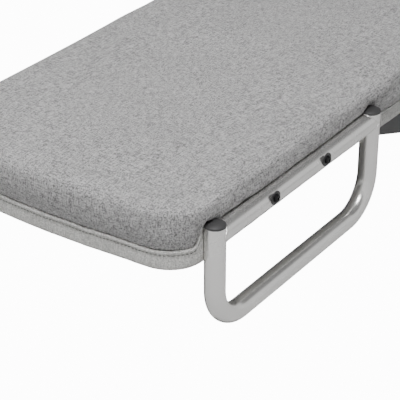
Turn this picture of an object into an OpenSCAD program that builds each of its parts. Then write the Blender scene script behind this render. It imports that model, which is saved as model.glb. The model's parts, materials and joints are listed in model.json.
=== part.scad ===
// Rollaway bed: two upholstered halves on tubular loop legs that fold up
// about a wheeled undercarriage in the middle.
// X runs from the foot (-) to the head (+), Y across, Z up from the floor.

/* [Bed] */
// Length over the mattress
bed_len = 1920; // [1600:10:2300]
// Width over the leg tubes
bed_wid = 594; // [480:2:900]
// Height of the upper leg tube's axis above the floor
bar_h = 187.5; // [180:0.5:240]
// Radius of the slightly bowed end, in plan
bow_r = 1720; // [700:10:3000]
// Radius of the corners of the cover, in plan
corner_r = 70; // [45:1:90]

/* [Legs] */
// Diameter of the leg tube
tube_d = 35; // [28:1:42]
// Wall of the leg tube
tube_wall = 2; // [1:0.5:3]
// Distance between the two posts of a leg loop
post_gap = 474; // [380:1:550]
// Distance from the end of the cover to the first post
post_inset = 82; // [75:1:160]
// Radius of the bends at the floor, on the tube's axis
bend_r = 70; // [50:1:75]
// Height of the domed top of a cap
cap_dome = 7; // [4:0.5:12]
// Length of the plug of a cap inside the tube
cap_plug = 14; // [8:1:16]

/* [Leg bolts] */
// Diameter of the bolt
bolt_d = 8; // [6:1:10]
// Diameter of the bolt's button head
head_d = 14; // [12:0.5:18]
// Height of the button head
head_h = 4.4; // [3:0.1:6]
// Size of the hexagon socket across its corners
socket_d = 5.8; // [4:0.1:7]
// Depth of the hexagon socket
socket_h = 2.6; // [1:0.1:2.8]
// Diameter of the washer
washer_d = 24; // [18:1:30]
// Thickness of the washer
washer_t = 1.6; // [1:0.1:2.5]
// Distance from the first post to the first bolt
bolt_in = 142; // [100:1:160]
// Distance between the bolts of a leg
bolt_gap = 156; // [100:1:180]
// Height of the bolts above the tube's axis
bolt_up = 6; // [0:0.5:6]

/* [Frame] */
// Diameter of the frame rail
rail_d = 25; // [20:1:28]
// Wall of the frame rail
rail_wall = 1.5; // [1:0.5:2.5]
// Thickness of the cover where the leg is bolted against it
cover_t = 3.4; // [2:0.1:6]
// Diameter of the cross bars
bar_d = 20; // [14:1:22]
// Number of cross bars in each half
bars = 3; // [2:1:4]
// Number of slats in each half
slats = 7; // [4:1:9]
// Width of a slat
slat_w = 55; // [35:1:60]
// Thickness of a slat
slat_t = 8; // [5:0.5:9]

/* [Upholstery] */
// Thickness of the mattress over the slats
pad_t = 42; // [30:1:70]
// How far the mattress stands out past the cover
puff = 10; // [4:1:14]
// Drop of the mattress skirt from the underside to the seam
skirt_drop = 32; // [26:1:34]
// Height of the base cover below the seam
band_h = 32; // [26:1:40]
// Gap at the seam between skirt and base cover
seam_gap = 1; // [0.5:0.1:2]

/* [Fold] */
// Distance of each hinge from the middle of the bed
pivot_x = 100; // [90:1:140]
// Diameter of the hinge pin
pin_d = 10; // [8:0.5:12]
// Radius of the hinge ears and eyes
ear_r = 18; // [14:0.5:18]
// Thickness of the hinge plates
plate_t = 5; // [3:0.5:5]
// Thickness of the tang in the rail's end
tang_t = 8; // [6:0.5:8]
// Length of the arms of the side plates from the middle
arm_x = 355; // [300:1:380]
// Length of the foot of the side plates from the middle
foot_x = 190; // [170:1:220]
// Running clearance of pins in their bores, on the radius
run = 0.05; // [0.02:0.01:0.1]

/* [Casters] */
// Diameter of the wheels
wheel_d = 50; // [40:1:54]
// Width of the wheels
wheel_w = 20; // [14:1:26]
// Distance of the casters from the middle, along the bed
caster_x = 125; // [115:1:160]
// Distance of the casters in from the side plates
caster_in = 32; // [32:1:80]
// Trail of the wheel behind the stem
trail = 20; // [14:1:26]
// Diameter of the stem
stem_d = 10; // [8:0.5:12]
// Diameter of the wheel's axle
axle_d = 8; // [6:0.5:10]
// Diameter of the beam that carries the casters
beam_d = 25; // [22:1:28]

/* [Hidden] */
$fn = 64;

fit = 0.3;              // clearance between pieces that only lie close
cut = 1;                // how far a cutting shape runs past a face
thin = 0.1;             // clearance of turned pieces that sit in each other
nut_wall = 1.5;         // wall of the rivet nuts
holder_lip = 2.4;       // thickness of a slat holder above and below the slat
pad_rolls = [[13, 0], [5, 6], [0, 16]];  // steps of the mattress edge: depth below the top, set back

// Heights
tube_r = tube_d / 2;
rail_r = rail_d / 2;
pivot_z = bar_h + bolt_up;
post_top = bar_h + tube_r;
pad_rest = 14;
pad_z = pivot_z + max(rail_r + 1.5, pad_rest);
wide_z = post_top + 1.5;
top_z = pad_z + pad_t;
seam_z = pad_z - skirt_drop;
band_top = seam_z - seam_gap;
band_z = band_top - band_h;
slat_z = pivot_z + 3;
bar_z = slat_z - holder_lip - thin - bar_d / 2;
arm_top = band_z - 4;

// Plan
cover_end = bed_len / 2 - puff;
leg_y = bed_wid / 2 - tube_r;
cover_y = leg_y - tube_r - fit;
rail_in = cover_t + fit + rail_r;
rail_y = cover_y - rail_in;
post_a = cover_end - post_inset;
post_b = post_a - post_gap;
bow_x = cover_end - bow_r;
corner_x = bow_x + sqrt(pow(bow_r - corner_r, 2) - pow(cover_y - corner_r, 2));
bow_ang = asin((cover_y - corner_r) / (bow_r - corner_r));
bolt_xs = [post_a - bolt_in, post_a - bolt_in - bolt_gap];

// Fold
skirt_end = ear_r;
tang_in = rail_y - tang_t / 2;
tang_out = rail_y + tang_t / 2;
play = 0.5;
inner_face = tang_in - play - plate_t;
outer_face = tang_out + play;
outer_back = outer_face + plate_t;
rail_end = pivot_x + 35;
rail_bend = corner_r - rail_in;
ear_top = pad_z - 2;
rivet_x = 0.35 * pivot_x;
caster_y = outer_face - caster_in;

// Casters
wheel_r = wheel_d / 2;
fork_t = 2.5;
fork_in = wheel_w / 2 + 1.5;
crown_z = wheel_d + 3;
crown_t = 3;
collar_top = crown_z + crown_t + 6;
socket_z = collar_top + thin;
beam_z = socket_z + 28;
socket_top = beam_z + beam_d / 2 + 1.5;
socket_wall = 4;
pedal_x = trail + 16;
pedal_z = wheel_d;
pedal_pin_r = 2;

// Points along an arc, from a0 to a1, without its first and last k points
function arc(cx, cy, r, a0, a1, n, k = 0) =
    [for (i = [k : n - k]) [cx + r * cos(a0 + (a1 - a0) * i / n), cy + r * sin(a0 + (a1 - a0) * i / n)]];

// Plan outline of a half, grown by g past the cover, from x_in to the bowed end
function half_outline(g, x_in) = concat(
    [[x_in, cover_y + g], [x_in, -cover_y - g]],
    arc(corner_x, corner_r - cover_y, corner_r + g, -90, -bow_ang, 10),
    arc(bow_x, 0, bow_r + g, -bow_ang, bow_ang, 16, 1),
    arc(corner_x, cover_y - corner_r, corner_r + g, bow_ang, 90, 10));

// Halves are drawn at the head and mirrored to the foot
module head() { children(); }
module foot() { mirror([1, 0, 0]) children(); }
module both_sides() {
    children();
    mirror([0, 1, 0]) children();
}
module both_ends() {
    children();
    mirror([1, 0, 0]) children();
}
module across(y0, y1, r) {
    translate([0, y0, 0]) rotate([-90, 0, 0]) cylinder(h = y1 - y0, r = r);
}
module along(x0, x1, r) {
    translate([x0, 0, 0]) rotate([0, 90, 0]) cylinder(h = x1 - x0, r = r);
}
// A flat plate in the XZ plane between y0 and y1
module plate(y0, y1) {
    translate([0, y1, 0]) rotate([90, 0, 0]) linear_extrude(y1 - y0) children();
}

// ---- Legs ----
module leg_bend(r) {
    translate([post_b + bend_r, 0, tube_r + bend_r]) rotate([90, 0, 0])
        rotate([0, 0, 180]) rotate_extrude(angle = 90) translate([bend_r, 0]) circle(r);
}
module loop_rod(r) {
    low = tube_r + bend_r;
    for (x = [post_a, post_b]) translate([x, 0, low]) cylinder(h = post_top - low, r = r);
    leg_bend(r);
    translate([post_a + post_b, 0, 0]) mirror([1, 0, 0]) leg_bend(r);
    translate([0, 0, tube_r]) along(post_b + bend_r, post_a - bend_r, r);
}
module leg_loop() {
    difference() {
        union() {
            loop_rod(tube_r);
            translate([0, 0, bar_h]) along(post_b, post_a, tube_r);
        }
        loop_rod(tube_r - tube_wall);
        for (x = [post_a, post_b]) translate([x, 0, post_top - cut])
            cylinder(h = 2 * cut, r = tube_r - tube_wall);
        translate([0, 0, bar_h]) along(post_b + tube_r, post_a - tube_r, tube_r - tube_wall);
        for (x = bolt_xs) translate([x, 0, pivot_z]) across(-tube_d, tube_d, bolt_d / 2 + fit);
    }
}
module leg(side) {
    color([0.74, 0.73, 0.72]) translate([0, side * leg_y, 0]) leg_loop();
}
module leg_caps() {
    plug_r = tube_r - tube_wall - thin;
    color([0.3, 0.3, 0.3]) both_sides() for (x = [post_a, post_b]) translate([x, leg_y, 0])
        rotate_extrude() polygon(concat(
            [[0, post_top - cap_plug], [plug_r, post_top - cap_plug], [plug_r, post_top],
             [tube_r, post_top], [tube_r, post_top + 2]],
            [for (a = [15 : 15 : 90]) [tube_r * cos(a), post_top + 2 + (cap_dome - 2) * sin(a)]]));
}
module leg_bolts() {
    face = leg_y + tube_r + washer_t;
    color([0.12, 0.12, 0.12]) both_sides() for (x = bolt_xs) translate([x, 0, pivot_z]) difference() {
        union() {
            across(rail_y - 2, face, bolt_d / 2);
            across(face, face + head_h * 0.45, head_d / 2);
            translate([0, face + head_h * 0.45, 0]) rotate([-90, 0, 0])
                cylinder(h = head_h * 0.55, r1 = head_d / 2, r2 = head_d * 0.36);
        }
        translate([0, face + head_h - socket_h, 0]) rotate([-90, 0, 0])
            cylinder(h = head_h, r = socket_d / 2, $fn = 6);
    }
}
module leg_washers() {
    face = leg_y + tube_r;
    color([0.15, 0.15, 0.15]) both_sides() for (x = bolt_xs) translate([x, 0, pivot_z]) difference() {
        across(face, face + washer_t, washer_d / 2);
        across(face - cut, face + washer_t + cut, bolt_d / 2 + run);
    }
}
module rail_nuts() {
    color([0.8, 0.78, 0.6]) both_sides() for (x = bolt_xs) translate([x, 0, pivot_z]) difference() {
        across(rail_y - 3, rail_y + rail_r - 0.4, bolt_d / 2 + nut_wall);
        across(rail_y - 3 - cut, rail_y + rail_r, bolt_d / 2 + run);
    }
}

// ---- Frame of a half ----
// The rail's solid rod: two sides, two bends and a straight end
module rail_rod(r) {
    both_sides() {
        translate([0, rail_y, 0]) along(rail_end, corner_x, r);
        translate([corner_x, rail_y - rail_bend, 0])
            rotate_extrude(angle = 90) translate([rail_bend, 0]) circle(r);
    }
    translate([corner_x + rail_bend, 0, 0]) across(rail_bend - rail_y, rail_y - rail_bend, r);
}
module frame_rail() {
    color([0.25, 0.25, 0.26]) translate([0, 0, pivot_z]) difference() {
        rail_rod(rail_r);
        rail_rod(rail_r - rail_wall);
        both_sides() translate([0, rail_y, 0]) along(rail_end - cut, rail_end + cut, rail_r - rail_wall);
        both_sides() for (x = bolt_xs) translate([x, 0, 0])
            across(rail_y + 2, rail_y + rail_d, bolt_d / 2 + nut_wall + run);
    }
}
bar_first = rail_end + 125;
bar_last = corner_x - 84;
module cross_bars() {
    color([0.25, 0.25, 0.26]) for (i = [0 : bars - 1])
        translate([bar_first + (bar_last - bar_first) * i / (bars - 1), 0, bar_z]) difference() {
            across(-rail_y, rail_y, bar_d / 2);
            across(-rail_y - cut, rail_y + cut, bar_d / 2 - rail_wall);
            both_sides() translate([0, rail_y, pivot_z - bar_z]) along(-bar_d, bar_d, rail_r);
        }
}
slat_end = rail_y - rail_r - 4.5;
slat_first = pivot_x + 90;
slat_last = corner_x - slat_w / 2 - 6;
function slat_x(i) = slat_first + (slat_last - slat_first) * i / (slats - 1);
module slat(x) {
    translate([x - slat_w / 2, -slat_end, slat_z]) cube([slat_w, 2 * slat_end, slat_t]);
}
module slat_row() {
    color([0.82, 0.68, 0.48]) for (i = [0 : slats - 1]) slat(slat_x(i));
}
module slat_holders() {
    grip = 3;
    depth = 7.5;
    color([0.15, 0.15, 0.15]) both_sides() for (i = [0 : slats - 1]) difference() {
        translate([slat_x(i) - slat_w / 2 - grip, slat_end - depth, slat_z - holder_lip])
            cube([slat_w + 2 * grip, rail_y - rail_r - slat_end + depth - fit, slat_t + 2 * holder_lip]);
        translate([slat_x(i) - slat_w / 2 - thin, slat_end - depth - cut, slat_z - thin])
            cube([slat_w + 2 * thin, depth + cut + thin, slat_t + 2 * thin]);
    }
}
module hinge_tangs() {
    plug_r = rail_r - rail_wall - thin / 2;
    color([0.5, 0.5, 0.52]) both_sides() translate([0, 0, pivot_z]) difference() {
        union() {
            translate([pivot_x, 0, 0]) across(tang_in, tang_out, ear_r);
            plate(tang_in, tang_out) translate([pivot_x, -plug_r + 2]) square([60, 2 * plug_r - 4]);
            translate([0, rail_y, 0]) along(rail_end, rail_end + 8, plug_r);
        }
        translate([pivot_x, 0, 0]) across(tang_in - cut, tang_out + cut, pin_d / 2 + run);
    }
}

// ---- Upholstery ----
// Side view of the space that a half's mattress keeps clear of the fold
module half_side_view() {
    knee = skirt_end - 1;
    polygon([[pivot_x + skirt_end, seam_z - cut], [bed_len, seam_z - cut], [bed_len, top_z + cut],
             [pivot_x + 1 + top_z + cut - pivot_z, top_z + cut], [pivot_x + skirt_end, pivot_z + knee]]);
}
// Room around the posts and caps
module post_room() {
    for (x = [post_a, post_b]) translate([x, leg_y, wide_z - cut])
        cylinder(h = post_top + cap_dome + 3 - wide_z + cut, r = tube_r + 2.5);
}
module bolt_room() {
    for (x = bolt_xs) translate([x, 0, pivot_z]) across(cover_y - 3 * cover_t, cover_y + cut, bolt_d / 2 + 0.5);
}
module half_mattress() {
    color([0.66, 0.66, 0.67]) difference() {
        intersection() {
            union() {
                translate([0, 0, seam_z]) linear_extrude(wide_z - seam_z) polygon(half_outline(0, 0));
                for (roll = pad_rolls) translate([0, 0, wide_z])
                    linear_extrude(top_z - roll[0] - wide_z) polygon(half_outline(puff - roll[1], 0));
            }
            plate(-bed_wid, bed_wid) half_side_view();
        }
        translate([0, 0, seam_z - cut])
            linear_extrude(pad_z - seam_z + cut) polygon(half_outline(-cover_t, 0));
        both_sides() {
            post_room();
            bolt_room();
        }
    }
}
module base_cover() {
    wall = 3;
    round = 6;
    x_in = pivot_x + 28;
    color([0.6, 0.595, 0.585]) difference() {
        union() {
            translate([0, 0, band_z]) linear_extrude(round) polygon(half_outline(-4, x_in));
            translate([0, 0, band_z + round]) linear_extrude(band_h - round) polygon(half_outline(0, x_in));
        }
        translate([0, 0, band_z + wall]) linear_extrude(band_h) polygon(half_outline(-4 - wall, x_in + wall));
    }
}
module centre_mattress() {
    half = pivot_x - skirt_end;
    crown = top_z + cut;
    slope = pivot_x - 1 - (crown - pivot_z);
    knee = pivot_z + skirt_end - 1;
    color([0.66, 0.66, 0.67]) difference() {
        intersection() {
            union() {
                translate([-half, -cover_y, seam_z]) cube([2 * half, 2 * cover_y, wide_z - seam_z]);
                for (roll = pad_rolls) translate([-half, -cover_y - puff + roll[1], wide_z])
                    cube([2 * half, 2 * (cover_y + puff - roll[1]), top_z - roll[0] - wide_z]);
            }
            plate(-bed_wid, bed_wid) polygon([
                [-half, seam_z - cut], [half, seam_z - cut], [half, knee],
                [slope, crown], [-slope, crown], [-half, knee]]);
        }
        translate([-half - cut, cover_t - cover_y, seam_z - cut])
            cube([2 * half + 2 * cut, 2 * (cover_y - cover_t), pad_z - seam_z + cut]);
    }
}
module centre_side_bands() {
    half = pivot_x - skirt_end;
    color([0.6, 0.595, 0.585]) both_sides()
        translate([-half, outer_back + thin, band_z]) cube([2 * half, cover_y - outer_back - thin, band_h]);
}

// ---- Undercarriage ----
module ears(y0, y1) {
    for (x = [-pivot_x, pivot_x]) translate([x, 0, pivot_z]) across(y0, y1, ear_r);
}
module pin_bores() {
    for (x = [-pivot_x, pivot_x]) translate([x, 0, pivot_z]) across(0, bed_wid, pin_d / 2 + run);
}
module rivet_bores() {
    for (x = [-rivet_x, rivet_x]) translate([x, 0, pivot_z]) across(0, bed_wid, bolt_d / 2 + run);
}
module side_plate() {
    tip = 7;
    foot_z = beam_z - beam_d / 2 - 7;
    waist = pivot_x + ear_r;
    window = 45;
    color([0.09, 0.09, 0.095]) difference() {
        union() {
            plate(outer_face, outer_back) polygon([
                [-foot_x, foot_z], [foot_x, foot_z], [arm_x, arm_top - tip], [arm_x, arm_top],
                [waist, arm_top], [waist, pivot_z], [pivot_x, pivot_z], [pivot_x, ear_top],
                [-pivot_x, ear_top], [-pivot_x, pivot_z], [-waist, pivot_z], [-waist, arm_top],
                [-arm_x, arm_top], [-arm_x, arm_top - tip]]);
            ears(outer_face, outer_back);
        }
        pin_bores();
        rivet_bores();
        translate([0, 0, (arm_top + foot_z) / 2 + 12]) {
            plate(0, bed_wid) square([2 * window, 40], center = true);
            for (x = [-window, window]) translate([x, 0, 0]) across(0, bed_wid, 20);
        }
        for (x = [-caster_x, caster_x]) translate([x, 0, beam_z]) across(0, bed_wid, bolt_d / 2 + run);
    }
}
module inner_hinge_plates() {
    low = bar_z - bar_d / 2 - 3;
    color([0.09, 0.09, 0.095]) both_sides() difference() {
        union() {
            plate(inner_face, inner_face + plate_t) translate([-pivot_x, low])
                square([2 * pivot_x, ear_top - low]);
            ears(inner_face, inner_face + plate_t);
        }
        pin_bores();
        rivet_bores();
    }
}
clip_y = inner_face - 1.3;
module hinge_pins() {
    color([0.72, 0.72, 0.74]) both_sides() for (x = [-pivot_x, pivot_x]) translate([x, 0, pivot_z]) difference() {
        union() {
            across(clip_y - 1.5, outer_back + 0.1, pin_d / 2);
            across(outer_back + 0.1, outer_back + 2.6, pin_d / 2 + 3);
        }
        difference() {
            across(clip_y, clip_y + 1.2, pin_d);
            across(clip_y - cut, clip_y + 2, pin_d / 2 - 0.8);
        }
    }
}
module hinge_pin_clips() {
    color([0.3, 0.3, 0.32]) both_sides() for (x = [-pivot_x, pivot_x]) translate([x, 0, pivot_z]) difference() {
        across(clip_y + 0.05, clip_y + 1.15, pin_d / 2 + 3);
        across(clip_y - cut, clip_y + 2, pin_d / 2 - 0.75);
        plate(clip_y - cut, clip_y + 2) translate([-2, 0]) square([4, pin_d]);
    }
}
module plate_spacers() {
    color([0.72, 0.72, 0.74]) both_sides() for (x = [-rivet_x, rivet_x]) translate([x, 0, pivot_z]) difference() {
        across(inner_face + plate_t, outer_face, bolt_d);
        across(0, bed_wid, bolt_d / 2 + run);
    }
}
module plate_rivets() {
    color([0.72, 0.72, 0.74]) both_sides() for (x = [-rivet_x, rivet_x]) translate([x, 0, pivot_z]) {
        across(inner_face - 2.4, outer_back + 2.4, bolt_d / 2);
        across(inner_face - 2.4, inner_face, bolt_d * 0.85);
        across(outer_back, outer_back + 2.4, bolt_d * 0.85);
    }
}
centre_bar_x = pivot_x - 22;
centre_bar_z = slat_z - bar_d / 2;
module centre_cross_bars() {
    color([0.25, 0.25, 0.26]) both_ends() translate([centre_bar_x, 0, centre_bar_z]) difference() {
        across(-inner_face, inner_face, bar_d / 2);
        across(-inner_face - cut, inner_face + cut, bar_d / 2 - rail_wall);
    }
}
module centre_slats() {
    color([0.82, 0.68, 0.48]) both_ends() slat(centre_bar_x + bar_d / 2 - slat_w / 2);
}
module caster_beams() {
    color([0.09, 0.09, 0.095]) both_ends() translate([caster_x, 0, beam_z]) difference() {
        across(-outer_face, outer_face, beam_d / 2);
        across(-outer_face - cut, outer_face + cut, beam_d / 2 - tube_wall);
        both_sides() translate([0, caster_y, -beam_d]) cylinder(h = 2 * beam_d, r = stem_d / 2 + socket_wall);
    }
}
module beam_end_plugs() {
    color([0.5, 0.5, 0.52]) both_ends() both_sides() translate([caster_x, 0, beam_z]) difference() {
        across(outer_face - 22, outer_face, beam_d / 2 - tube_wall - thin / 2);
        across(0, bed_wid, bolt_d / 2 + run);
    }
}
module caster_sockets() {
    color([0.5, 0.5, 0.52]) both_ends() both_sides() translate([caster_x, caster_y, socket_z]) difference() {
        cylinder(h = socket_top - socket_z, r = stem_d / 2 + socket_wall);
        translate([0, 0, -cut]) cylinder(h = socket_top - socket_z + 2 * cut, r = stem_d / 2 + run);
    }
}
module plate_bolts() {
    color([0.12, 0.12, 0.12]) both_ends() both_sides() translate([caster_x, 0, beam_z]) difference() {
        union() {
            across(outer_face - 20, outer_back, bolt_d / 2);
            across(outer_back, outer_back + head_h * 0.45, head_d / 2);
            translate([0, outer_back + head_h * 0.45, 0]) rotate([-90, 0, 0])
                cylinder(h = head_h * 0.55, r1 = head_d / 2, r2 = head_d * 0.36);
        }
        translate([0, outer_back + head_h - socket_h, 0]) rotate([-90, 0, 0])
            cylinder(h = head_h, r = socket_d / 2, $fn = 6);
    }
}

// ---- Casters: the wheel trails toward the middle of the bed ----
module at_caster(end, side) {
    translate([end * caster_x, side * caster_y, 0]) mirror([end < 0 ? 1 : 0, 0, 0]) children();
}
module fork_side() {
    difference() {
        union() {
            translate([-trail, wheel_r]) circle(8);
            polygon([[-trail - 8, wheel_r], [-trail + 8, wheel_r], [8, crown_z], [8, crown_z + crown_t],
                     [-pedal_x - 4, crown_z + crown_t], [-pedal_x - 4, pedal_z - 2]]);
        }
        translate([-trail, wheel_r]) circle(axle_d / 2 + run);
        translate([-pedal_x, pedal_z]) circle(pedal_pin_r + run);
    }
}
module caster_fork(end, side) {
    edge = fork_in + fork_t;
    back = trail + 9;
    color([0.75, 0.75, 0.77]) at_caster(end, side) {
        both_sides() plate(fork_in, edge) fork_side();
        translate([-back, -fork_in, crown_z]) cube([back + 8, 2 * fork_in, crown_t]);
        translate([0, 0, crown_z + crown_t]) cylinder(h = collar_top - crown_z - crown_t, r = stem_d / 2 + 4);
        translate([0, 0, crown_z]) cylinder(h = socket_top - crown_z - 1, r = stem_d / 2);
    }
}
module caster_axle(end, side) {
    edge = fork_in + fork_t;
    color([0.6, 0.6, 0.62]) at_caster(end, side) translate([-trail, 0, wheel_r]) {
        across(-edge, edge, axle_d / 2);
        both_sides() across(edge, edge + 2, axle_d / 2 + 2);
    }
}
module caster_wheel(end, side) {
    rim = 0.68 * wheel_r;
    bore = axle_d / 2 + run;
    boss = axle_d / 2 + 4;
    half = wheel_w / 2;
    web = half - 3;
    lip = half - 1;
    color([0.35, 0.35, 0.36]) at_caster(end, side) translate([-trail, 0, wheel_r]) rotate([90, 0, 0])
        rotate_extrude() polygon([
            [bore, -half], [boss, -half], [boss + 1, -web], [rim - 3, -web], [rim - 2, -lip], [rim, -lip],
            [rim, lip], [rim - 2, lip], [rim - 3, web], [boss + 1, web], [boss, half], [bore, half]]);
}
module caster_tyre(end, side) {
    rim = 0.68 * wheel_r + thin / 2;
    edge = wheel_w / 2 - 1;
    soft = 3;
    color([0.18, 0.18, 0.18]) at_caster(end, side) translate([-trail, 0, wheel_r]) rotate([90, 0, 0])
        rotate_extrude() polygon(concat([[rim, edge], [rim, -edge]],
            arc(wheel_r - soft, soft - edge, soft, -90, 0, 4),
            arc(wheel_r - soft, edge - soft, soft, 0, 90, 4)));
}
module brake_pedal(end, side) {
    wide = fork_in - 0.5;
    color([0.55, 0.1, 0.1]) at_caster(end, side) translate([-pedal_x, 0, pedal_z]) {
        across(-wide, wide, 3.5);
        across(-fork_in - fork_t, fork_in + fork_t, pedal_pin_r);
        plate(-wide, wide) polygon([[0, 3.5], [0, -3], [-9, -3], [-27, 0], [-31, 3], [-27, 4.5], [-10, 3]]);
        translate([-9, 0, -5]) across(-wide + 1, wide - 1, 3);
    }
}

foot() frame_rail();  // foot_frame_rail
foot() cross_bars();  // foot_cross_bars
foot() slat_row();  // foot_slats
foot() slat_holders();  // foot_slat_holders
foot() hinge_tangs();  // foot_hinge_tangs
foot() half_mattress();  // foot_mattress
foot() base_cover();  // foot_base_cover
foot() leg(-1);  // foot_left_leg
foot() leg(1);  // foot_right_leg
foot() leg_caps();  // foot_leg_caps
foot() leg_bolts();  // foot_leg_bolts
foot() leg_washers();  // foot_leg_washers
foot() rail_nuts();  // foot_rail_nuts
head() frame_rail();  // head_frame_rail
head() cross_bars();  // head_cross_bars
head() slat_row();  // head_slats
head() slat_holders();  // head_slat_holders
head() hinge_tangs();  // head_hinge_tangs
head() half_mattress();  // head_mattress
head() base_cover();  // head_base_cover
head() leg(-1);  // head_left_leg
head() leg(1);  // head_right_leg
head() leg_caps();  // head_leg_caps
head() leg_bolts();  // head_leg_bolts
head() leg_washers();  // head_leg_washers
head() rail_nuts();  // head_rail_nuts
mirror([0, 1, 0]) side_plate();  // left_side_plate
side_plate();  // right_side_plate
inner_hinge_plates();
hinge_pins();
hinge_pin_clips();
plate_spacers();
plate_rivets();
centre_cross_bars();
centre_slats();
centre_mattress();
centre_side_bands();
caster_beams();
beam_end_plugs();
caster_sockets();
plate_bolts();
caster_fork(-1, -1);  // foot_left_caster_fork
caster_axle(-1, -1);  // foot_left_caster_axle
caster_wheel(-1, -1);  // foot_left_wheel
caster_tyre(-1, -1);  // foot_left_tyre
caster_fork(-1, 1);  // foot_right_caster_fork
caster_axle(-1, 1);  // foot_right_caster_axle
caster_wheel(-1, 1);  // foot_right_wheel
caster_tyre(-1, 1);  // foot_right_tyre
caster_fork(1, -1);  // head_left_caster_fork
caster_axle(1, -1);  // head_left_caster_axle
caster_wheel(1, -1);  // head_left_wheel
caster_tyre(1, -1);  // head_left_tyre
caster_fork(1, 1);  // head_right_caster_fork
caster_axle(1, 1);  // head_right_caster_axle
caster_wheel(1, 1);  // head_right_wheel
caster_tyre(1, 1);  // head_right_tyre
brake_pedal(-1, -1);  // foot_left_brake_pedal
brake_pedal(1, -1);  // head_left_brake_pedal
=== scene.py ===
import json
import math
import bmesh
import bpy
import numpy as np
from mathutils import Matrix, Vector, noise


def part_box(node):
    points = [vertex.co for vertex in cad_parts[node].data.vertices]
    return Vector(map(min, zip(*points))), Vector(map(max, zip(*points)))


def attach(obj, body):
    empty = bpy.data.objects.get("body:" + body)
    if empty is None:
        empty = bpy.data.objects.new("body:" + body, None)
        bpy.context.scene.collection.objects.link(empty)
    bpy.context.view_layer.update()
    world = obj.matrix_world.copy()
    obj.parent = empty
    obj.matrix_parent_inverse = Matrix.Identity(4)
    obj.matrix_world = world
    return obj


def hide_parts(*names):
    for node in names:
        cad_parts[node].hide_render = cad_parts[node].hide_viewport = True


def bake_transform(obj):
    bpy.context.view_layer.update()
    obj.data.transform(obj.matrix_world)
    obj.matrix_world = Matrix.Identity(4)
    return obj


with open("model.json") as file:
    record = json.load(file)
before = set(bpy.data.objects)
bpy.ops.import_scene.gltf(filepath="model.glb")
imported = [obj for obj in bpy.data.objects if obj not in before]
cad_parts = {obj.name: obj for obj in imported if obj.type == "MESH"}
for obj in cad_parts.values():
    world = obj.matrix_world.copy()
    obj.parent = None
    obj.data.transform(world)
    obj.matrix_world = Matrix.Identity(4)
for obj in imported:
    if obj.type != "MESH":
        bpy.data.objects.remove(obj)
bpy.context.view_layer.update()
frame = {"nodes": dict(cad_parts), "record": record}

scene = bpy.context.scene

# Places taken from the frame
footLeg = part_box("foot_left_leg")
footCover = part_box("foot_base_cover")
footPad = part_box("foot_mattress")
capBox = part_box("foot_leg_caps")
tubeRadius = 0.5 * (footLeg[1].y - footLeg[0].y)
postX = (footLeg[0].x + tubeRadius, footLeg[1].x - tubeRadius)  # outer post, inner post
legY = -footLeg[0].y - tubeRadius
postTop = footLeg[1].z
barZ = postTop - tubeRadius
seamZ = footPad[0].z


# Camera and lights
cameraSet = {
    "lens": 136.2,
    "azimuth": -54.6,       # degrees round from straight ahead of the long side
    "pitch": 30.1,          # degrees down
    "distance": 2.3113,
    "aim": (0.0089, 0.0346, 0.0471),  # from the top of the near post
}


def makeCamera(s):
    camera = bpy.data.objects.new("bedCamera", bpy.data.cameras.new("bedCamera"))
    camera.data.lens = s["lens"]
    camera.data.sensor_width = 36.0
    camera.data.clip_start = 0.05
    a = math.radians(s["azimuth"])
    e = math.radians(s["pitch"])
    back = Vector((math.sin(a) * math.cos(e), -math.cos(a) * math.cos(e), math.sin(e)))
    aim = Vector((postX[0], -legY, barZ)) + Vector(s["aim"])
    camera.location = aim + back * s["distance"]
    camera.rotation_euler = (-back).to_track_quat("-Z", "Y").to_euler()
    scene.collection.objects.link(camera)
    scene.camera = camera


lightSet = {
    # brightness of the surroundings at each height, from level with the floor to straight above
    "heights": [(0.02, 0.40), (0.12, 0.20), (0.60, 0.15), (0.85, 0.15)],
    "areas": [
        # name, place, aim, size, power
        ("key", (-2.05, -0.85, 3.7), (-0.7, 0.0, 0.2), 1.3, 153.0),
        ("overhead", (-0.2, 0.9, 2.6), (-0.4, 0.0, 0.2), 2.0, 26.0),
    ],
}


def makeLights(s):
    world = bpy.data.worlds.new("studio")
    world.use_nodes = True
    tree = world.node_tree
    place = tree.nodes.new("ShaderNodeTexCoord")
    split = tree.nodes.new("ShaderNodeSeparateXYZ")
    ramp = tree.nodes.new("ShaderNodeValToRGB")
    elements = ramp.color_ramp.elements
    for i, (height, grey) in enumerate(s["heights"]):
        stop = elements[i] if i < 2 else elements.new(height)
        stop.position = height
        stop.color = (grey, grey, grey, 1.0)
    tree.links.new(place.outputs["Generated"], split.inputs["Vector"])
    tree.links.new(split.outputs["Z"], ramp.inputs["Fac"])
    tree.links.new(ramp.outputs["Color"], tree.nodes["Background"].inputs["Color"])
    scene.world = world
    for name, place, aim, size, power in s["areas"]:
        data = bpy.data.lights.new(name, "AREA")
        data.size = size
        data.energy = power
        lamp = bpy.data.objects.new(name, data)
        lamp.location = place
        lamp.rotation_euler = (Vector(aim) - Vector(place)).to_track_quat("-Z", "Y").to_euler()
        scene.collection.objects.link(lamp)


makeCamera(cameraSet)
makeLights(lightSet)
print("camera and lights ready")


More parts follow.
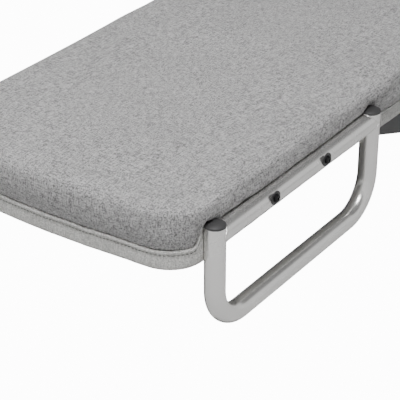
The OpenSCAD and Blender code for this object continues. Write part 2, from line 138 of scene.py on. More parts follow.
# Finishes
class Recipe:
    # a material's node tree with short ways to add and join nodes
    def __init__(self, name):
        self.material = bpy.data.materials.new(name)
        self.material.use_nodes = True
        self.tree = self.material.node_tree
        self.shader = self.tree.nodes["Principled BSDF"]
        self.place = self.add("ShaderNodeTexCoord").outputs["Object"]

    def add(self, kind, **values):
        node = self.tree.nodes.new(kind)
        for key, value in values.items():
            setattr(node, key, value)
        return node

    def join(self, out, into):
        self.tree.links.new(out, into)

    def grain(self, scale, detail=2.0, rough=0.5):
        # noise with so many waves a metre, either one number or one for each axis
        if isinstance(scale, float):
            scale = (scale, scale, scale)
        stretch = self.add("ShaderNodeMapping")
        stretch.inputs["Scale"].default_value = scale
        self.join(self.place, stretch.inputs["Vector"])
        node = self.add("ShaderNodeTexNoise")
        node.inputs["Scale"].default_value = 1.0
        node.inputs["Detail"].default_value = detail
        node.inputs["Roughness"].default_value = rough
        self.join(stretch.outputs["Vector"], node.inputs["Vector"])
        return node.outputs["Fac"]

    def ramp(self, value, low, high, start=(0, 0, 0), end=(1, 1, 1)):
        node = self.add("ShaderNodeValToRGB")
        node.color_ramp.elements[0].position = low
        node.color_ramp.elements[1].position = high
        node.color_ramp.elements[0].color = (*start, 1.0)
        node.color_ramp.elements[1].color = (*end, 1.0)
        self.join(value, node.inputs["Fac"])
        return node.outputs["Color"]

    def maths(self, kind, a, b):
        node = self.add("ShaderNodeMath", operation=kind)
        for i, v in enumerate((a, b)):
            if isinstance(v, (int, float)):
                node.inputs[i].default_value = v
            else:
                self.join(v, node.inputs[i])
        return node.outputs["Value"]

    def mix(self, kind, amount, a, b):
        node = self.add("ShaderNodeMix", data_type="RGBA", blend_type=kind)
        slots = [i for i in node.inputs if i.type == "RGBA"]
        if isinstance(amount, (int, float)):
            node.inputs[0].default_value = amount
        else:
            self.join(amount, node.inputs[0])
        for target, v in zip(slots, (a, b)):
            if isinstance(v, tuple):
                target.default_value = (*v, 1.0)
            else:
                self.join(v, target)
        return [o for o in node.outputs if o.type == "RGBA"][0]

    def relief(self, height, strength, depth):
        node = self.add("ShaderNodeBump")
        node.inputs["Strength"].default_value = strength
        node.inputs["Distance"].default_value = depth
        self.join(height, node.inputs["Height"])
        self.join(node.outputs["Normal"], self.shader.inputs["Normal"])

    def finish(self, **values):
        for key, value in values.items():
            socket = self.shader.inputs[key.replace("_", " ")]
            if isinstance(value, tuple):
                value = (*value, 1.0)
            socket.default_value = value
        return self.material


def heatherFabric(name, s):
    # light and dark yarns crossing each way, with slubs, pilled specks and a fine weave in the relief
    r = Recipe(name)
    fine = 1.0 / s["thread"]
    long = 1.0 / s["streak"]
    yarns = None
    for axis in range(3):
        across = [fine, fine, fine]
        across[axis] = long
        yarn = r.grain(tuple(across), 2.0, 0.65)
        yarns = yarn if yarns is None else r.maths("ADD", yarns, yarn)
    speck = r.grain(fine * 0.8, 1.0)
    yarnTone = r.maths("MULTIPLY", yarns, s["yarnShare"])
    mixed = r.maths("ADD", yarnTone, r.maths("MULTIPLY", speck, s["speckShare"]))
    tone = r.ramp(mixed, 0.5 - s["spread"], 0.5 + s["spread"], s["dark"], s["light"])
    faded, fresh = s["clouding"]
    cloudy = r.ramp(r.grain(9.0, 3.0), 0.25, 0.75, (faded, faded, faded), (fresh, fresh, fresh))
    tone = r.mix("MULTIPLY", 1.0, tone, cloudy)
    r.join(tone, r.shader.inputs["Base Color"])
    weave = r.grain(fine * 2.4, 1.0, 0.4)   # finer than the yarns
    height = r.maths("ADD", r.maths("MULTIPLY", yarns, 0.35), r.maths("MULTIPLY", weave, 0.4))
    r.relief(height, s["bump"], s["nap"])
    return r.finish(Roughness=0.93, Sheen_Weight=s["sheen"], Sheen_Roughness=0.6)


def powderCoat(name, s):
    r = Recipe(name)
    speck = r.grain(900.0, 1.0)     # metal flake, about a millimetre across
    cloud = r.grain(14.0, 3.0)      # slow unevenness of the coat
    base = r.mix("MIX", r.ramp(cloud, 0.3, 0.7), s["shade"], s["colour"])
    tone = r.mix("MIX", r.ramp(speck, 0.35, 0.75), base, s["fleck"])
    r.join(tone, r.shader.inputs["Base Color"])
    rough = r.maths("ADD", r.maths("MULTIPLY", cloud, 0.12), s["rough"])
    r.join(rough, r.shader.inputs["Roughness"])
    peel = r.grain(420.0, 2.0)      # orange peel
    r.relief(peel, 0.25, 0.00025)
    return r.finish(Metallic=s["metal"], Coat_Weight=s["coat"], Coat_Roughness=0.35)


def mouldedPlastic(name, s):
    r = Recipe(name)
    cloud = r.grain(30.0, 2.0)      # flow marks
    tone = r.mix("MIX", r.ramp(cloud, 0.3, 0.7), s["shade"], s["colour"])
    r.join(tone, r.shader.inputs["Base Color"])
    rough = r.maths("ADD", r.maths("MULTIPLY", cloud, 0.15), s["rough"])
    r.join(rough, r.shader.inputs["Roughness"])
    spark = r.grain(1500.0, 1.0)    # fine spark-eroded texture
    r.relief(spark, s["bump"], 0.0001)
    return r.finish(IOR=1.48)


def platedSteel(name, s):
    r = Recipe(name)
    drawn = r.grain((60.0, 1400.0, 1400.0), 2.0)    # lines along the length
    cloud = r.grain(40.0, 3.0)      # patches in the plating
    tone = r.mix("MIX", r.ramp(cloud, 0.3, 0.72), s["shade"], s["colour"])
    r.join(tone, r.shader.inputs["Base Color"])
    rough = r.maths("ADD", r.maths("MULTIPLY", drawn, 0.22), s["rough"])
    r.join(rough, r.shader.inputs["Roughness"])
    r.relief(drawn, 0.12, 0.0001)
    return r.finish(Metallic=1.0)


def birchPly(name, s):
    r = Recipe(name)
    figure = r.grain((55.0, 4.0, 220.0), 4.0, 0.6)  # the grain runs across the bed, as the slats do
    pores = r.grain((900.0, 40.0, 900.0), 1.0)
    tone = r.ramp(figure, 0.3, 0.72, s["dark"], s["light"])
    tone = r.mix("MULTIPLY", 0.5, tone, r.ramp(pores, 0.3, 0.6, (0.7, 0.62, 0.5), (1.0, 1.0, 1.0)))
    r.join(tone, r.shader.inputs["Base Color"])
    r.relief(pores, 0.2, 0.0002)
    return r.finish(Roughness=0.48, Coat_Weight=0.15, Coat_Roughness=0.3)


def treadRubber(name, s):
    r = Recipe(name)
    dust = r.grain(70.0, 4.0, 0.7)  # pale dust in patches
    tone = r.mix("MIX", r.ramp(dust, 0.45, 0.8), s["colour"], s["dust"])
    r.join(tone, r.shader.inputs["Base Color"])
    r.relief(r.grain(600.0, 2.0), 0.25, 0.0002)
    return r.finish(Roughness=0.78)


# what both fabrics share: shares of yarn and speck in the tone, its slow clouding, height of the nap
fabricSet = {"yarnShare": 0.26, "speckShare": 0.22, "clouding": (0.94, 1.04), "nap": 0.0008}
finishes = {
    "mattress_fabric": heatherFabric("bedLinenWeave", {
        **fabricSet, "thread": 0.0017, "streak": 0.0130, "spread": 0.060, "bump": 0.6, "sheen": 0.08,
        "dark": (0.15, 0.148, 0.148), "light": (0.57, 0.563, 0.563)}),
    "cover_fabric": heatherFabric("baseBandWeave", {
        **fabricSet, "thread": 0.0017, "streak": 0.0110, "spread": 0.075, "bump": 0.5, "sheen": 0.05,
        "dark": (0.42, 0.416, 0.398), "light": (0.82, 0.814, 0.786)}),
    "leg_paint": powderCoat("silverGreyCoat", {
        "colour": (0.84, 0.831, 0.815), "shade": (0.80, 0.792, 0.776), "fleck": (0.88, 0.872, 0.856),
        "rough": 0.20, "metal": 0.9, "coat": 0.0}),
    "frame_paint": powderCoat("darkFrameCoat", {
        "colour": (0.06, 0.06, 0.064), "shade": (0.045, 0.045, 0.048), "fleck": (0.09, 0.09, 0.095),
        "rough": 0.4, "metal": 0.1, "coat": 0.1}),
    "plate_paint": powderCoat("blackPlateCoat", {
        "colour": (0.028, 0.0285, 0.0295), "shade": (0.019, 0.0195, 0.0205), "fleck": (0.05, 0.051, 0.053),
        "rough": 0.38, "metal": 0.1, "coat": 0.15}),
    "black_steel": platedSteel("blackenedSteel", {
        "colour": (0.04, 0.04, 0.042), "shade": (0.02, 0.02, 0.021), "rough": 0.34}),
    "zinc_steel": platedSteel("zincSteel", {
        "colour": (0.6, 0.6, 0.61), "shade": (0.46, 0.46, 0.47), "rough": 0.22}),
    "cap_plastic": mouldedPlastic("capGrey", {
        "colour": (0.048, 0.048, 0.049), "shade": (0.038, 0.038, 0.039), "rough": 0.42, "bump": 0.25}),
    "holder_plastic": mouldedPlastic("holderBlack", {
        "colour": (0.02, 0.02, 0.021), "shade": (0.014, 0.014, 0.015), "rough": 0.45, "bump": 0.2}),
    "slat_wood": birchPly("birchSlat", {"dark": (0.42, 0.27, 0.14), "light": (0.68, 0.5, 0.31)}),
    "wheel_plastic": mouldedPlastic("wheelGrey", {
        "colour": (0.11, 0.11, 0.115), "shade": (0.085, 0.085, 0.09), "rough": 0.4, "bump": 0.2}),
    "tyre_rubber": treadRubber("softTread", {"colour": (0.02, 0.02, 0.021), "dust": (0.075, 0.07, 0.065)}),
    "pedal_plastic": mouldedPlastic("pedalGrey", {
        "colour": (0.055, 0.055, 0.058), "shade": (0.04, 0.04, 0.042), "rough": 0.4, "bump": 0.2}),
}
washerFinish = platedSteel("oiledWasher", {
    "colour": (0.10, 0.10, 0.103), "shade": (0.075, 0.075, 0.077), "rough": 0.34})
threadFinish = mouldedPlastic("sewingThread", {
    "colour": (0.23, 0.228, 0.22), "shade": (0.17, 0.168, 0.162), "rough": 0.6, "bump": 0.3})

# Every carried-over part takes the finish of its own slot, with softened edges on the plates
slotOf = {row["node"]: row["material_slot"] for row in frame["record"]["subparts"]}
edgeSoftening = {
    "side_plate": 0.0008, "hinge_plates": 0.0006, "slats": 0.0012, "holders": 0.0008,
    "caster_fork": 0.0003, "tangs": 0.0004, "washers": 0.0003,
}
cornerAngle = math.radians(50)      # edges that turn less than this stay as they are
for nodeName, part in frame["nodes"].items():
    part.data.materials.clear()
    part.data.materials.append(washerFinish if nodeName.endswith("washers") else finishes[slotOf[nodeName]])
    for ending, width in edgeSoftening.items():
        if nodeName.endswith(ending):
            bevel = part.modifiers.new("softEdge", "BEVEL")
            bevel.width = width
            bevel.segments = 2
            bevel.limit_method = "ANGLE"
            bevel.angle_limit = cornerAngle
print("finishes ready")


# Plan outline shared by the mattress and the base cover
coverPlan = {
    "halfWidth": footCover[1].y,
    "end": -footCover[0].x,
    "corner": 0.070,        # plan radius of the corners
    "bow": 1.720,           # plan radius of the bowed end
    "bulge": 0.0055,        # how far the corners stand out past the arc
    "bulgeReach": 0.055,
    "fine": 0.35,           # share of the step used beside the posts
    "fineReach": 0.034,
}


class HalfPlan:
    # plan outline of the foot half: near side, bowed end, far side, as three curves that meet at the corners
    def __init__(self, s, xIn):
        self.s = s
        self.w = s["halfWidth"]
        self.rc = s["corner"]
        self.rb = s["bow"]
        self.xIn = xIn
        self.bowX = self.rb - s["end"]
        self.cornerX = self.bowX - math.sqrt((self.rb - self.rc) ** 2 - (self.w - self.rc) ** 2)
        self.bowAngle = math.asin((self.w - self.rc) / (self.rb - self.rc))
        self.straight = xIn - self.cornerX
        self.arc = self.rc * (math.pi / 2 - self.bowAngle)
        self.middle = self.straight + 0.5 * self.arc
        self.total = 2 * (self.straight + self.arc + self.rb * self.bowAngle)

    def at(self, t):
        # the point and outward normal at length t from the near inner end
        far = t > self.total / 2
        d = self.total - t if far else t
        if d < self.straight:
            p, n = (self.xIn - d, -self.w), (0.0, -1.0)
        elif d < self.straight + self.arc:
            a = (d - self.straight) / self.rc
            n = (-math.sin(a), -math.cos(a))
            p = (self.cornerX + self.rc * n[0], self.rc - self.w + self.rc * n[1])
        else:
            a = math.pi / 2 - self.bowAngle + (d - self.straight - self.arc) / self.rb
            n = (-math.sin(a), -math.cos(a))
            p = (self.bowX + self.rb * n[0], self.rb * n[1])
        swell = self.s["bulge"] * bump(d - self.middle, self.s["bulgeReach"])
        p = (p[0] + n[0] * swell, p[1] + n[1] * swell)
        if far:
            return (p[0], -p[1]), (n[0], -n[1])
        return p, n

    def columns(self, step):
        # lengths of the columns, closer beside the posts, with one exactly at the middle of each corner
        side = [0.0]
        while side[-1] < self.middle:
            x = self.xIn - side[-1]
            close = min(abs(x - post) for post in postX) < self.s["fineReach"]
            side.append(side[-1] + step * (self.s["fine"] if close else 1.0))
        side = [d * self.middle / side[-1] for d in side]
        sideCount = len(side) - 1
        endCount = max(4, 2 * round((self.total - 2 * self.middle) / step / 2))
        lengths = side[:-1]
        lengths += [self.middle + (self.total - 2 * self.middle) * i / endCount for i in range(endCount)]
        lengths += [self.total - d for d in reversed(side)]
        return lengths, sideCount, endCount


def bump(distance, reach):
    return math.exp(-((distance / reach) ** 2))


def share(value):
    return min(1.0, max(0.0, value))


tuckSet = {
    "wobble": 0.0012,       # small waves along the seam
    "wobbleSize": 0.024,
    "wobbleStart": 0.10,    # distance from the middle at which they start, whole at twice that
    "rise": 0.040,          # how far the seam is drawn up beside the outer post
    "riseBack": 0.012,
    "riseReach": 0.0090,
    "sag": 0.0060,          # how far it hangs past the inner post, toward the hinge
    "sagStart": -0.375,
    "sagLength": 0.105,
    "middleFade": 0.20,     # distance from the middle over which sag and billow fade out
    "spread": 0.0045,       # how far the long sides bulge past the bowed end
    "spreadEnd": 0.14,      # length over which that fades toward the corner
    "spreadHeight": 0.03,
    "billow": 0.0060,       # how far the mattress stands out where the seam hangs
    "billowMiddle": 0.018,
    "billowHeight": 0.030,
    "foldMiddle": 0.026,    # height of the crease above the seam
    "foldHeight": 0.018,
    "crease": 0.0075,       # depth of the crease beside the outer post
    "creaseBack": 0.0255,   # its distance past the post
    "creaseReach": 0.0034,
}


def onBowedEnd(y):
    return abs(y) < coverPlan["halfWidth"] - coverPlan["corner"]


def sagShare(x):
    s = tuckSet
    along = share((x - s["sagStart"]) / s["sagLength"])
    return along * along * (3 - 2 * along) * share(-x / s["middleFade"])


def seamShift(x, y):
    # how far the seam stands above its usual height
    s = tuckSet
    wave = noise.noise(Vector((x / s["wobbleSize"], y / s["wobbleSize"], 2.0)))
    wobble = s["wobble"] * wave * share(-x / s["wobbleStart"] - 1.0)
    if onBowedEnd(y):
        return wobble
    return wobble + s["rise"] * bump(x - postX[0] + s["riseBack"], s["riseReach"]) - s["sag"] * sagShare(x)


def sideShift(x, y, height):
    # how far the mattress side stands out past its profile, at a height above the seam
    s = tuckSet
    if onBowedEnd(y):
        return 0.0
    corner = share((x + coverPlan["end"] - coverPlan["corner"]) / s["spreadEnd"])
    out = s["spread"] * corner * min(1.0, height / s["spreadHeight"])
    out += s["billow"] * sagShare(x) * bump(height - s["billowMiddle"], s["billowHeight"])
    tall = bump(height - s["foldMiddle"], s["foldHeight"])
    return out - s["crease"] * tall * bump(x - postX[0] + s["creaseBack"], s["creaseReach"])


def ringVerts(plan, lengths, inset, z):
    verts = []
    for t in lengths:
        p, n = plan.at(t)
        verts.append((p[0] - n[0] * inset, p[1] - n[1] * inset, z))
    return verts


def patchVerts(rim, sideCount, endCount, heightAt):
    # fills a rim of columns with a grid: rows run across the bed, from the inner end to the bowed end
    near = np.array(rim[:sideCount + 1])
    end = np.array(rim[sideCount:sideCount + endCount + 1])
    far = np.array(rim[sideCount + endCount:])[::-1]
    rows = []
    for i in range(sideCount + 1):
        s = i / sideCount
        row = []
        for j in range(endCount + 1):
            t = j / endCount
            inner = near[0] * (1 - t) + far[0] * t
            corners = (1 - s) * inner + s * ((1 - t) * near[-1] + t * far[-1])
            p = (1 - t) * near[i] + t * far[i] + (1 - s) * inner + s * end[j] - corners
            row.append((p[0], p[1], heightAt(p[0], p[1])))
        rows.append(row)
    return rows


def gridFaces(rows, columns, base=0, ringRows=False, ringColumns=False):
    # faces between neighbouring rows of points; in a ring the last row or column meets the first
    faces = []
    for k in range(rows if ringRows else rows - 1):
        here = base + k * columns
        there = base + (k + 1) % rows * columns
        for i in range(columns if ringColumns else columns - 1):
            after = (i + 1) % columns
            faces.append((here + i, here + after, there + after, there + i))
    return faces


def newPiece(name, verts, faces, finish, smooth=True):
    mesh = bpy.data.meshes.new(name)
    mesh.from_pydata([tuple(v) for v in verts], [], faces)
    mesh.validate()
    bm = bmesh.new()
    bm.from_mesh(mesh)
    bmesh.ops.recalc_face_normals(bm, faces=bm.faces)
    for face in bm.faces:
        face.smooth = smooth
    bm.to_mesh(mesh)
    bm.free()
    mesh.materials.append(finish)
    piece = bpy.data.objects.new(name, mesh)
    scene.collection.objects.link(piece)
    return piece


def applyModifiers(piece):
    graph = bpy.context.evaluated_depsgraph_get()
    made = bpy.data.meshes.new_from_object(piece.evaluated_get(graph))
    piece.modifiers.clear()
    piece.data = made
    for face in made.polygons:
        face.use_smooth = True


def turnedCopy(piece, name):
    # the head end is the foot end turned half round
    mesh = piece.data.copy()
    mesh.transform(((-1, 0, 0, 0), (0, -1, 0, 0), (0, 0, 1, 0), (0, 0, 0, 1)))
    copy = bpy.data.objects.new(name, mesh)
    scene.collection.objects.link(copy)
    return copy


# Mattress
mattressSet = {
    "step": 0.0085,
    # outer profile from the seam up: inset from the cover's outline, height above the seam
    "side": [(0.0012, 0.0), (-0.0006, 0.0012), (-0.0034, 0.0050), (-0.0070, 0.0110), (-0.0100, 0.0185),
             (-0.0122, 0.0270), (-0.0134, 0.0360), (-0.0140, 0.0450), (-0.0141, 0.0535), (-0.0136, 0.0610),
             (-0.0120, 0.0665), (-0.0086, 0.0705), (-0.0028, 0.0730), (0.0058, 0.0743), (0.0180, 0.0749),
             (0.0340, 0.0753)],
    "seamFade": 0.048,      # height above the seam over which its waves fade
    "overSlats": 0.0035,    # height of the underside over the slats
    "underInset": 0.0095,
    "skirt": 0.0040,        # thickness of the skirt where it hangs beside the rail
    "skirtTop": 0.004,      # its inner face starts so far below the underside
    "skirtFoot": 0.006,     # and ends so far above the seam
    "crown": 0.0025,        # rise of the middle over the edge of the top
    "crownReach": 0.16,
    "crownEase": 2.4,
    "join": 0.0045,         # drop of the top where the two halves meet
    "joinReach": 0.010,
    "joinHeld": 0.02,       # the filling moves nothing at the joining face, and less within this distance
    "legGap": 0.0006,       # room left beside the tubes of the legs
    "foldReach": 0.06,      # half length about the hinge
}


def makeMattress(s):
    plan = HalfPlan(coverPlan, 0.0)
    lengths, sideCount, endCount = plan.columns(s["step"])
    columns = len(lengths)
    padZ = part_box("foot_slats")[1].z + s["overSlats"]
    rings = [(s["underInset"], padZ)]
    rings += [(s["skirt"], padZ - s["skirtTop"]), (s["skirt"], seamZ + s["skirtFoot"])]
    insideRings = len(rings)
    rings += [(inset, seamZ + rise) for inset, rise in s["side"]]
    verts = []
    for k, (inset, z) in enumerate(rings):
        if k < insideRings:
            verts += ringVerts(plan, lengths, inset, z)
            continue
        height = z - seamZ
        for t in lengths:
            p, n = plan.at(t)
            out = sideShift(p[0], p[1], height) - inset
            sink = s["join"] * bump(p[0], s["joinReach"]) * height / s["side"][-1][1]
            lift = seamShift(p[0], p[1]) * max(0.0, 1.0 - height / s["seamFade"])
            verts.append((p[0] + n[0] * out, p[1] + n[1] * out, z + lift - sink))
    faces = gridFaces(len(rings), columns)
    topInset, topRise = s["side"][-1]

    def topHeight(x, y):
        sideGap = max(0.0, plan.w - topInset - abs(y))
        endGap = max(0.0, x + coverPlan["end"] - topInset)
        gap = min(1.0, sideGap / s["crownReach"]) * min(1.0, endGap / s["crownReach"])
        ease = 1.0 - (1.0 - gap) ** s["crownEase"]
        return seamZ + topRise + s["crown"] * ease - s["join"] * bump(x, s["joinReach"])

    def addPatch(ringIndex, heightAt):
        rim = verts[ringIndex * columns:(ringIndex + 1) * columns]
        rows = patchVerts(rim, sideCount, endCount, heightAt)
        index = {}
        for i in range(sideCount + 1):
            index[i, 0] = ringIndex * columns + i
            index[i, endCount] = ringIndex * columns + columns - 1 - i
        for j in range(1, endCount):
            index[sideCount, j] = ringIndex * columns + sideCount + j
        for i in range(sideCount):
            for j in range(1, endCount):
                index[i, j] = len(verts)
                verts.append(rows[i][j])
        for i in range(sideCount):
            for j in range(endCount):
                faces.append((index[i, j], index[i + 1, j], index[i + 1, j + 1], index[i, j + 1]))
        return [index[0, j] for j in range(endCount + 1)]

    under = addPatch(0, lambda x, y: padZ)
    underPoints = range(len(rings) * columns, len(verts))
    top = addPatch(len(rings) - 1, topHeight)
    nearWall = [k * columns for k in range(len(rings))]
    farWall = [k * columns + columns - 1 for k in range(len(rings))]
    faces.append(nearWall + top[1:-1] + farWall[::-1] + under[1:-1][::-1])
    piece = newPiece("foot_end_mattress", verts, faces, finishes["mattress_fabric"])
    # points that stay: the inside, the seam and the ring above it, the underside and the joining face
    held = piece.vertex_groups.new(name="held")
    heldRings = insideRings + 2
    for v in piece.data.vertices:
        still = v.index < columns * heldRings or v.index in underPoints
        held.add([v.index], 1.0 if still else share(1.0 + v.co.x / s["joinHeld"]), "REPLACE")
    return piece


# The filling: air pressure that swells the fabric between the legs
fillingSet = {
    "pressure": 3.2,
    "frames": 18,
    "travel": 0.0035,       # furthest that the filling pushes the fabric out
    "quality": 5,
    "mass": 0.35,
    "stretch": 22.0,
    "shear": 8.0,
    "bend": 1.5,
    "damping": 8.0,
    "gap": 0.0012,          # distance kept from the legs, and the thickness added round them
    "legThickness": 0.0008,
    "grip": 2.0,
}


def legStops(s):
    # copies of the leg loops and caps that the fabric presses against
    stops = []
    for nodeName in ("foot_left_leg", "foot_right_leg", "foot_leg_caps"):
        stop = bpy.data.objects.new("stop_" + nodeName, frame["nodes"][nodeName].data.copy())
        scene.collection.objects.link(stop)
        stop.modifiers.new("press", "COLLISION")
        stop.collision.thickness_outer = s["legThickness"]
        stop.collision.cloth_friction = s["grip"]
        stops.append(stop)
    return stops


def fillMattress(piece, s):
    before = np.array([v.co for v in piece.data.vertices])
    stops = legStops(s)
    cloth = piece.modifiers.new("filling", "CLOTH")
    c = cloth.settings
    c.quality = s["quality"]
    c.mass = s["mass"]
    c.tension_stiffness = s["stretch"]
    c.compression_stiffness = s["stretch"]
    c.shear_stiffness = s["shear"]
    c.bending_stiffness = s["bend"]
    c.tension_damping = s["damping"]
    c.compression_damping = s["damping"]
    c.use_pressure = True
    c.uniform_pressure_force = s["pressure"]
    c.effector_weights.gravity = 0.0
    c.vertex_group_mass = "held"
    cloth.collision_settings.use_collision = True
    cloth.collision_settings.distance_min = s["gap"]
    cloth.collision_settings.use_self_collision = False
    cloth.point_cache.frame_end = s["frames"] + 2
    for f in range(1, s["frames"] + 1):
        scene.frame_set(f)
    graph = bpy.context.evaluated_depsgraph_get()
    after = np.array([v.co for v in piece.evaluated_get(graph).data.vertices])
    piece.modifiers.remove(cloth)
    scene.frame_set(1)
    for stop in stops:
        bpy.data.objects.remove(stop)
    move = after - before
    far = np.maximum(np.linalg.norm(move, axis=1), 1e-9)
    reach = s["travel"] * np.tanh(far / s["travel"])
    move *= (reach / far)[:, None]
    print("mattress filled, furthest move mm", round(1000 * float(far.max()), 1))
    for v, m in zip(piece.data.vertices, move):
        v.co += Vector(m)


def clearOfLegs(piece, gap):
    # moves any point that is inside a tube or a cap straight out of it, toward the middle of the bed
    shoulder = postTop + 0.5 * (capBox[1].z - postTop)
    capTop = capBox[1].z + gap
    for v in piece.data.vertices:
        side = -1.0 if v.co.y < 0 else 1.0
        out = abs(v.co.y)
        limit = out
        for x in postX:
            dx = v.co.x - x
            r = tubeRadius + gap
            if v.co.z >= capTop:
                continue
            if v.co.z >= shoulder:
                # the rounded cap narrows toward its top
                r *= math.sqrt(max(0.0, 1.0 - ((v.co.z - shoulder) / (capTop - shoulder)) ** 2))
            if abs(dx) < r:
                limit = min(limit, legY - math.sqrt(r * r - dx * dx))
        dz = v.co.z - barZ
        r = tubeRadius + gap
        if postX[0] < v.co.x < postX[1] and abs(dz) < r:
            limit = min(limit, legY - math.sqrt(r * r - dz * dz))
        if limit < out:
            v.co.y = side * limit


footMattress = makeMattress(mattressSet)
fillMattress(footMattress, fillingSet)
clearOfLegs(footMattress, mattressSet["legGap"])
smooth = footMattress.modifiers.new("roundness", "SUBSURF")
smooth.levels = 1
smooth.render_levels = 1
applyModifiers(footMattress)
headMattress = turnedCopy(footMattress, "head_end_mattress")
for piece, half, sign in ((footMattress, "foot_half", -1), (headMattress, "head_half", 1)):
    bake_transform(piece)
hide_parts("foot_mattress", "centre_mattress")
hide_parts("head_mattress")
print("mattress ready")


# Base cover: the band under the seam, with its rounded lip
bandSet = {
    "step": 0.0065,
    "gap": 0.0006,          # between the lip and the mattress above
    # profile from the inside of the lip round to the underside: inset, drop below the lip
    "profile": [(0.0110, 0.0030), (0.0040, 0.0002), (-0.0004, -0.0004), (-0.0028, 0.0000), (-0.0040, 0.0014),
                (-0.0038, 0.0030), (-0.0027, 0.0044), (-0.0016, 0.0056), (-0.0010, 0.0076), (-0.0009, 0.0120),
                (-0.0012, 0.0190), (-0.0010, 0.0270), (-0.0004, 0.0325), (0.0012, 0.0352), (0.0048, 0.0366),
                (0.0150, 0.0366), (0.0400, 0.0366)],
    "under": 0.001,         # how far its underside lies below the plain cover's
    "lower": 0.0015,        # how much deeper the band hangs past the inner post
    "out": 0.0028,          # and how much further out
    "lipDepth": 0.030,      # depth over which the lip's rise and fall fades
    "waves": [
        # height, length, how much closer they lie up and down, place
        (0.0007, 0.055, 2.5, 3.0),
        (0.0005, 0.018, 2.0, 8.0),
    ],
    "waveLift": 0.4,        # how much of a wave also lifts the fabric
    "legGap": 0.0005,
}


def ripple(x, y, z, size, place):
    return noise.noise(Vector((x / size + place, y / size, z / size)))


def bandShift(x, y, drop):
    # the lip follows the seam above it, and past the inner post the band hangs deeper and further out
    s = bandSet
    seam = seamShift(x, y)
    depth = share(drop / s["lipDepth"])
    hang = share(-seam / tuckSet["sag"])
    return seam * (1.0 - depth) - s["lower"] * depth * hang, s["out"] * depth * hang


def makeBand(s):
    plan = HalfPlan(coverPlan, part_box("foot_base_cover")[1].x)
    lengths, sideCount, endCount = plan.columns(s["step"])
    columns = len(lengths)
    top = seamZ - s["gap"]
    rings = [(s["profile"][0][0], footCover[0].z - s["under"])]
    rings += [(inset, top - drop) for inset, drop in s["profile"]]
    verts = []
    for inset, z in rings:
        for t in lengths:
            p, n = plan.at(t)
            lift, out = bandShift(p[0], p[1], top - z)
            out -= inset
            verts.append((p[0] + n[0] * out, p[1] + n[1] * out, z + lift))
    faces = gridFaces(len(rings), columns)
    last = (len(rings) - 1) * columns
    faces.append(list(range(columns)))
    faces.append(list(range(last, last + columns)))
    nearWall = [k * columns for k in range(len(rings))]
    farWall = [k * columns + columns - 1 for k in range(len(rings))]
    faces.append(nearWall + farWall[::-1])
    piece = newPiece("foot_base_band", verts, faces, finishes["cover_fabric"])
    for v in piece.data.vertices:
        wave = 0.0
        for height, length, closer, place in s["waves"]:
            wave += height * ripple(v.co.x, v.co.y, v.co.z * closer, length, place)
        along = v.co.x > plan.cornerX
        outward = Vector((0.0, v.co.y, 0.0)).normalized() if along else Vector((-1.0, 0.0, 0.0))
        v.co += outward * wave
        v.co.z += s["waveLift"] * wave
    clearOfLegs(piece, s["legGap"])
    return piece, plan


# Topstitching below the lip
stitchSet = {
    "drop": 0.0080,         # below the lip
    "length": 0.0046,
    "gap": 0.0020,
    "margin": 0.005,        # left free at both ends of the row
    "thread": 0.00055,
    "proud": 0.0015,        # how far the row lies outside the cover's outline
    "sides": 6,
    # share of the length, height over the row, share of the thread's radius
    "stations": [(0.0, -0.0009, 0.6), (0.25, 0.00015, 1.0), (0.75, 0.00015, 1.0), (1.0, -0.0009, 0.6)],
    "legGap": 0.0002,
}


def makeStitches(name, plan, s):
    # a row of short thread lengths that dip into the fabric at both ends
    verts = []
    faces = []
    sides = s["sides"]
    stations = s["stations"]
    pitch = s["length"] + s["gap"]
    z = seamZ - bandSet["gap"] - s["drop"]
    up = Vector((0.0, 0.0, 1.0))
    for i in range(int((plan.total - 2 * s["margin"]) / pitch)):
        base = len(verts)
        for along, lift, fat in stations:
            p, n = plan.at(s["margin"] + i * pitch + s["length"] * along)
            outward = Vector((n[0], n[1], 0.0))
            level = z + bandShift(p[0], p[1], s["drop"])[0]
            centre = Vector((p[0], p[1], level)) + outward * (s["proud"] + lift)
            for k in range(sides):
                a = 2 * math.pi * k / sides
                verts.append(centre + (outward * math.cos(a) + up * math.sin(a)) * s["thread"] * fat)
        faces += gridFaces(len(stations), sides, base, ringColumns=True)
        faces.append(list(range(base, base + sides))[::-1])
        faces.append(list(range(len(verts) - sides, len(verts))))
    piece = newPiece(name, verts, faces, threadFinish)
    clearOfLegs(piece, s["legGap"])
    return piece


footBand, bandPlan = makeBand(bandSet)
footStitch = makeStitches("foot_band_stitches", bandPlan, stitchSet)
headBand = turnedCopy(footBand, "head_base_band")
headStitch = turnedCopy(footStitch, "head_band_stitches")
for band, stitch, half, node in ((footBand, footStitch, "foot_half", "foot_base_cover"),
                                 (headBand, headStitch, "head_half", "head_base_cover")):
    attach(band, half)
    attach(stitch, half)
    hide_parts(node)
print("base bands ready")


# Side bands of the middle section, made like the foot and head ones
centreBand = {
    "reach": 0.082,         # half length
    "step": 0.008,
    "back": 0.0068,         # inset of its back face
}


def makeCentreBand(s, name, side):
    halfWidth = coverPlan["halfWidth"]
    top = seamZ - bandSet["gap"]
    outer = bandSet["profile"]
    profile = [(s["back"], outer[0][1])] + outer[1:-2] + [(s["back"], outer[-1][1])]
    columns = 2 * round(s["reach"] / s["step"]) + 1
    verts = []
    for inset, drop in profile:
        for i in range(columns):
            x = s["reach"] * (2 * i / (columns - 1) - 1)
            lift, out = bandShift(-abs(x), halfWidth, drop)
            verts.append((x, side * (halfWidth + out - inset), top - drop + lift))
    faces = gridFaces(len(profile), columns, ringRows=True)
    faces.append(list(range(0, len(verts), columns)))
    faces.append(list(range(columns - 1, len(verts), columns)))
    piece = newPiece(name, verts, faces, finishes["cover_fabric"])
    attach(piece, "undercarriage")
    return piece


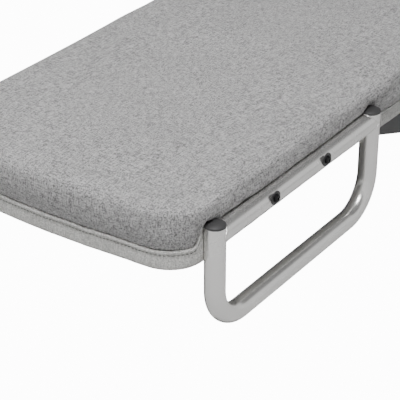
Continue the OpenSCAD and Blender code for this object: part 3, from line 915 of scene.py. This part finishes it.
leftCentre = makeCentreBand(centreBand, "left_centre_band", -1)
makeCentreBand(centreBand, "right_centre_band", 1)
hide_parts("centre_side_bands")
print("centre bands ready")


# Weld beads where the bars of the leg loops meet the posts
weldSet = {
    "bead": 0.0013,
    "around": 56,
    "sides": 8,
    "puddles": [(0.22, 14), (0.1, 5)],      # share of the bead, number of swellings round it
}


def makeWeld(s, name, x, y, toward):
    # the bead follows the saddle line where a level tube meets an upright one of the same width
    verts = []
    r = tubeRadius
    for i in range(s["around"]):
        a = 2 * math.pi * i / s["around"]
        centre = Vector((x + toward * r * abs(math.sin(a)), y + r * math.cos(a), barZ + r * math.sin(a)))
        outward = Vector((0.0, math.cos(a), math.sin(a)))
        level = Vector((toward, 0.0, 0.0))
        fat = s["bead"] * (1.0 + sum(height * math.sin(number * a) for height, number in s["puddles"]))
        for k in range(s["sides"]):
            b = 2 * math.pi * k / s["sides"]
            verts.append(centre + (outward * math.cos(b) + level * math.sin(b)) * fat)
    faces = gridFaces(s["around"], s["sides"], ringRows=True, ringColumns=True)
    piece = newPiece(name, verts, faces, finishes["leg_paint"])
    return piece


for half, turn in (("foot", 1), ("head", -1)):
    for sideName, side in (("left", -1), ("right", 1)):
        for postName, x, toward in (("outer", postX[0], 1), ("inner", postX[1], -1)):
            name = half + "_" + sideName + "_" + postName + "_weld"
            weld = makeWeld(weldSet, name, turn * x, side * legY, turn * toward)
            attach(weld, half + "_half")
print("welds ready")


# Floor: one plane that bounces light and one just below it that gives the plain pale background
floorSet = {
    "reach": 40.0,
    "bounce": 0.62,
    "below": 0.0005,
    "glow": 13.0,
    "cardRadius": 5.0,      # the card stands on the floor in a half circle
    "cardHeight": 3.1,
    "cardGlow": 0.80,
    "cardSteps": 24,
}


def glowFinish(name, strength):
    black = (0.0, 0.0, 0.0)
    white = (1.0, 1.0, 1.0)
    r = Recipe(name)
    return r.finish(Base_Color=black, Roughness=1.0, Emission_Color=white, Emission_Strength=strength)


def makePlane(name, far, z, finish):
    corners = [(-far, -far, z), (far, -far, z), (far, far, z), (-far, far, z)]
    return newPiece(name, corners, [(0, 1, 2, 3)], finish, False)


def makeFloor(s):
    shade = (s["bounce"], s["bounce"], s["bounce"])
    paleFloor = Recipe("paleFloor").finish(Base_Color=shade, Roughness=0.9)
    bounce = makePlane("bounceFloor", s["reach"], 0.0, paleFloor)
    bounce.visible_camera = False
    glow = makePlane("glowFloor", s["reach"], -s["below"], glowFinish("whiteBackdrop", s["glow"]))
    glow.visible_diffuse = False
    glow.visible_glossy = False
    glow.visible_transmission = False
    glow.visible_shadow = False
    return bounce, glow


def makeCard(s):
    # a pale curved card on the near side, seen only as a reflection in the metal
    verts = []
    for i in range(s["cardSteps"] + 1):
        a = math.pi * (1 + i / s["cardSteps"])
        for z in (0.0, s["cardHeight"]):
            verts.append((s["cardRadius"] * math.cos(a), s["cardRadius"] * math.sin(a), z))
    faces = gridFaces(s["cardSteps"] + 1, 2)
    card = newPiece("reflectionCard", verts, faces, glowFinish("paleCard", s["cardGlow"]))
    card.visible_camera = False
    card.visible_diffuse = False
    card.visible_shadow = False
    return card


for stagePiece in (*makeFloor(floorSet), makeCard(floorSet)):
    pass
print("floor ready")
